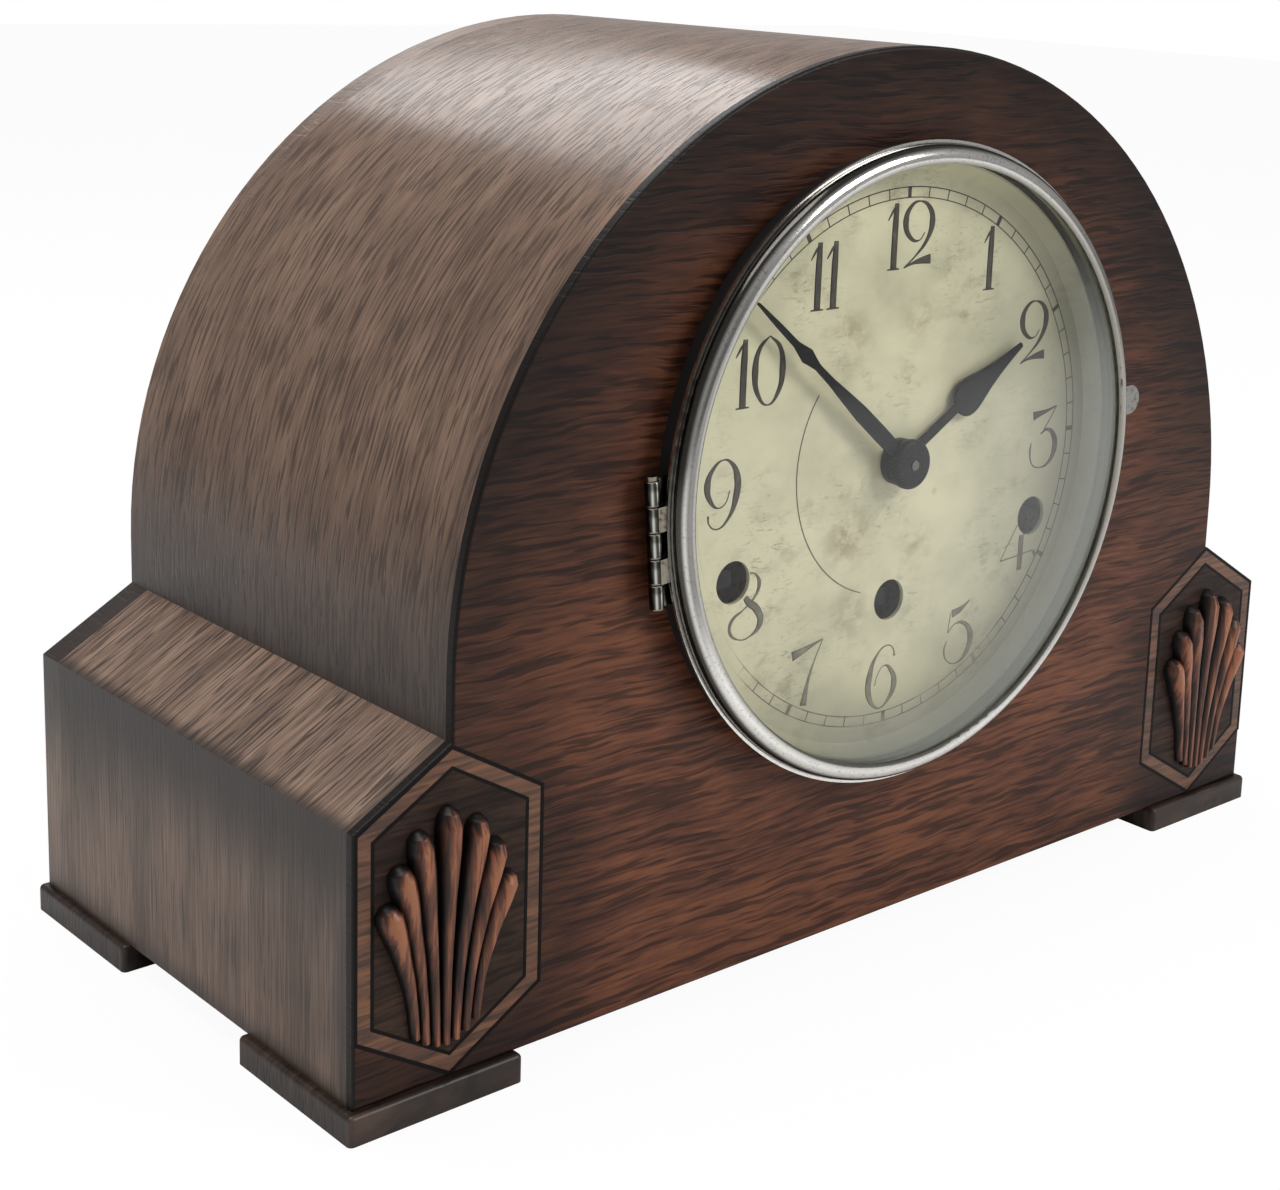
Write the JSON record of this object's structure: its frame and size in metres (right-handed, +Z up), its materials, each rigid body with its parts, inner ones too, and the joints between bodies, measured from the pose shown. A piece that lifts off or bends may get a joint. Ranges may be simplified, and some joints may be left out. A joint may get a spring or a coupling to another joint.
{
  "type": "shelf clock",
  "caption": "Round-top oak shelf clock with hinged convex-glass bezel, silvered dial, carved shell shoulders, striking and chiming movement and a hinged back door",
  "frame": {"origin": "centre of the bounding box on the table plane, under the four feet", "axes": "+X to the right as the dial is seen, +Y from the dial to the back door, +Z up"},
  "size_m": [0.304, 0.1639, 0.2186],
  "materials": {
    "oak_front": "satin",
    "oak_shell": "satin",
    "oak_side": "satin",
    "oak_top": "satin",
    "plain_wood": "matte",
    "back_wood": "satin",
    "dark_wood": "satin",
    "inlay_wood": "satin",
    "carved_wood": "gloss",
    "black_metal": "gloss",
    "silvered": "satin",
    "chrome": "polished",
    "glass": "clear",
    "nickel": "worn",
    "steel": "satin",
    "brass": "satin",
    "iron": "matte"
  },
  "bodies": {
    "case": {"front_panel": "oak_front", "arch_shell": "oak_shell", "left_shoulder_side": "oak_side", "right_shoulder_side": "oak_side", "left_shoulder_top": "oak_top", "right_shoulder_top": "oak_top", "base_board": "plain_wood", "back_frame": "back_wood", "feet": "dark_wood", "inlay_bands": "inlay_wood", "left_shell_carving": "carved_wood", "right_shell_carving": "carved_wood", "bezel_seat": "black_metal", "sight_ring": "silvered", "dial_plate": "silvered", "bezel_hinge_base": "nickel", "bezel_hinge_pin": "nickel", "front_plate": "brass", "back_plate": "brass", "plate_pillars": "steel", "suspension_cock": "brass", "hammer_arbor": "steel", "rod_block": "iron", "chime_rods": "steel", "door_hinge_leaves": "brass", "door_hinge_pins": "brass"},
    "bezel": {"bezel_ring": "chrome", "bezel_glass": "glass", "bezel_hinge_leaf": "nickel", "bezel_tab": "chrome"},
    "back_door": {"back_door": "back_wood", "door_hinge_straps": "brass", "door_knob": "brass"},
    "minute_arbor": {"minute_hand": "black_metal", "hand_nut": "black_metal", "cannon_pinion": "steel", "centre_wheel": "brass"},
    "hour_pipe": {"hour_hand": "black_metal", "hour_wheel": "brass"},
    "minute_wheel": {"minute_wheel": "brass"},
    "intermediate": {"intermediate_wheel": "brass"},
    "time_barrel": {"time_barrel": "brass"},
    "third": {"third_wheel": "brass"},
    "escape": {"escape_wheel": "brass"},
    "anchor": {"anchor": "steel"},
    "pendulum": {"pendulum_rod": "steel", "pendulum_bob": "brass"},
    "strike_barrel": {"strike_barrel": "brass"},
    "strike_wheel": {"strike_wheel": "brass"},
    "strike_fly": {"strike_fly": "brass"},
    "chime_barrel": {"chime_barrel": "brass"},
    "chime_drum": {"chime_drum": "brass"},
    "chime_fly": {"chime_fly": "brass"},
    "time_winding": {"time_winding_arbor": "steel"},
    "strike_winding": {"strike_winding_arbor": "steel"},
    "chime_winding": {"chime_winding_arbor": "steel"},
    "hammer_1": {"hammer_1": "steel"},
    "hammer_2": {"hammer_2": "steel"},
    "hammer_3": {"hammer_3": "steel"},
    "hammer_4": {"hammer_4": "steel"}
  },
  "joints": [
    {"name": "bezel_swing", "type": "hinge", "parent": "case", "child": "bezel", "pos_m": [-0.0784, -0.07055, 0.11444], "axis": [0.0872, 0, -0.9962], "range_deg": [0, 115]},
    {"name": "back_door_swing", "type": "hinge", "parent": "case", "child": "back_door", "pos_m": [0.105, 0.07285, 0.06], "axis": [0, 0, -1], "range_deg": [0, 110]},
    {"name": "minute_turn", "type": "hinge", "parent": "case", "child": "minute_arbor", "pos_m": [0, 0, 0.1213], "axis": [0, 1, 0], "continuous": true},
    {"name": "hour_turn", "type": "hinge", "parent": "case", "child": "hour_pipe", "pos_m": [0, 0, 0.1213], "axis": [0, 1, 0], "continuous": true},
    {"name": "minute_wheel_turn", "type": "hinge", "parent": "case", "child": "minute_wheel", "pos_m": [0.00848, 0, 0.12979], "axis": [0, 1, 0], "continuous": true},
    {"name": "intermediate_turn", "type": "hinge", "parent": "case", "child": "intermediate", "pos_m": [0.01648, 0, 0.10829], "axis": [0, 1, 0], "continuous": true},
    {"name": "time_barrel_turn", "type": "hinge", "parent": "case", "child": "time_barrel", "pos_m": [0, 0, 0.0869], "axis": [0, 1, 0], "continuous": true},
    {"name": "third_turn", "type": "hinge", "parent": "case", "child": "third", "pos_m": [-0.014, 0, 0.13668], "axis": [0, 1, 0], "continuous": true},
    {"name": "escape_turn", "type": "hinge", "parent": "case", "child": "escape", "pos_m": [0, 0, 0.14443], "axis": [0, 1, 0], "continuous": true},
    {"name": "pendulum_swing", "type": "hinge", "parent": "case", "child": "pendulum", "pos_m": [0, 0, 0.15933], "axis": [0, 1, 0], "range_deg": [-4, 4]},
    {"name": "anchor_rock", "type": "hinge", "parent": "case", "child": "anchor", "pos_m": [0, 0, 0.15933], "axis": [0, 1, 0], "range_deg": [-4, 4]},
    {"name": "strike_barrel_turn", "type": "hinge", "parent": "case", "child": "strike_barrel", "pos_m": [-0.0508, 0, 0.1], "axis": [0, 1, 0], "continuous": true},
    {"name": "strike_wheel_turn", "type": "hinge", "parent": "case", "child": "strike_wheel", "pos_m": [-0.04611, 0, 0.12659], "axis": [0, 1, 0], "continuous": true},
    {"name": "strike_fly_turn", "type": "hinge", "parent": "case", "child": "strike_fly", "pos_m": [-0.03591, 0, 0.14426], "axis": [0, 1, 0], "continuous": true},
    {"name": "chime_barrel_turn", "type": "hinge", "parent": "case", "child": "chime_barrel", "pos_m": [0.0508, 0, 0.1], "axis": [0, 1, 0], "continuous": true},
    {"name": "chime_drum_turn", "type": "hinge", "parent": "case", "child": "chime_drum", "pos_m": [0.04611, 0, 0.12659], "axis": [0, 1, 0], "continuous": true},
    {"name": "chime_fly_turn", "type": "hinge", "parent": "case", "child": "chime_fly", "pos_m": [0.03591, 0, 0.14426], "axis": [0, 1, 0], "continuous": true},
    {"name": "time_winding_turn", "type": "hinge", "parent": "case", "child": "time_winding", "pos_m": [0, 0, 0.0869], "axis": [0, 1, 0], "continuous": true},
    {"name": "strike_winding_turn", "type": "hinge", "parent": "case", "child": "strike_winding", "pos_m": [-0.0508, 0, 0.1], "axis": [0, 1, 0], "continuous": true},
    {"name": "chime_winding_turn", "type": "hinge", "parent": "case", "child": "chime_winding", "pos_m": [0.0508, 0, 0.1], "axis": [0, 1, 0], "continuous": true},
    {"name": "hammer_1_lift", "type": "hinge", "parent": "case", "child": "hammer_1", "pos_m": [0.04, 0.00345, 0.0753], "axis": [0, -1, 0], "range_deg": [0, 14]},
    {"name": "hammer_2_lift", "type": "hinge", "parent": "case", "child": "hammer_2", "pos_m": [0.04, 0.01245, 0.0753], "axis": [0, -1, 0], "range_deg": [0, 14]},
    {"name": "hammer_3_lift", "type": "hinge", "parent": "case", "child": "hammer_3", "pos_m": [0.04, 0.02145, 0.0753], "axis": [0, -1, 0], "range_deg": [0, 14]},
    {"name": "hammer_4_lift", "type": "hinge", "parent": "case", "child": "hammer_4", "pos_m": [0.04, 0.03045, 0.0753], "axis": [0, -1, 0], "range_deg": [0, 14]}
  ],
  "couplings": [
    {"joint": "hour_turn", "follows": "minute_turn", "ratio": 0.083333},
    {"joint": "minute_wheel_turn", "follows": "minute_turn", "ratio": -0.33333},
    {"joint": "intermediate_turn", "follows": "minute_turn", "ratio": -0.16667},
    {"joint": "time_barrel_turn", "follows": "minute_turn", "ratio": 0.020833},
    {"joint": "third_turn", "follows": "minute_turn", "ratio": -12},
    {"joint": "escape_turn", "follows": "minute_turn", "ratio": 108},
    {"joint": "anchor_rock", "follows": "pendulum_swing", "ratio": 1},
    {"joint": "strike_wheel_turn", "follows": "strike_barrel_turn", "ratio": -8},
    {"joint": "strike_fly_turn", "follows": "strike_barrel_turn", "ratio": 60},
    {"joint": "chime_drum_turn", "follows": "chime_barrel_turn", "ratio": -8},
    {"joint": "chime_fly_turn", "follows": "chime_barrel_turn", "ratio": 60}
  ]
}
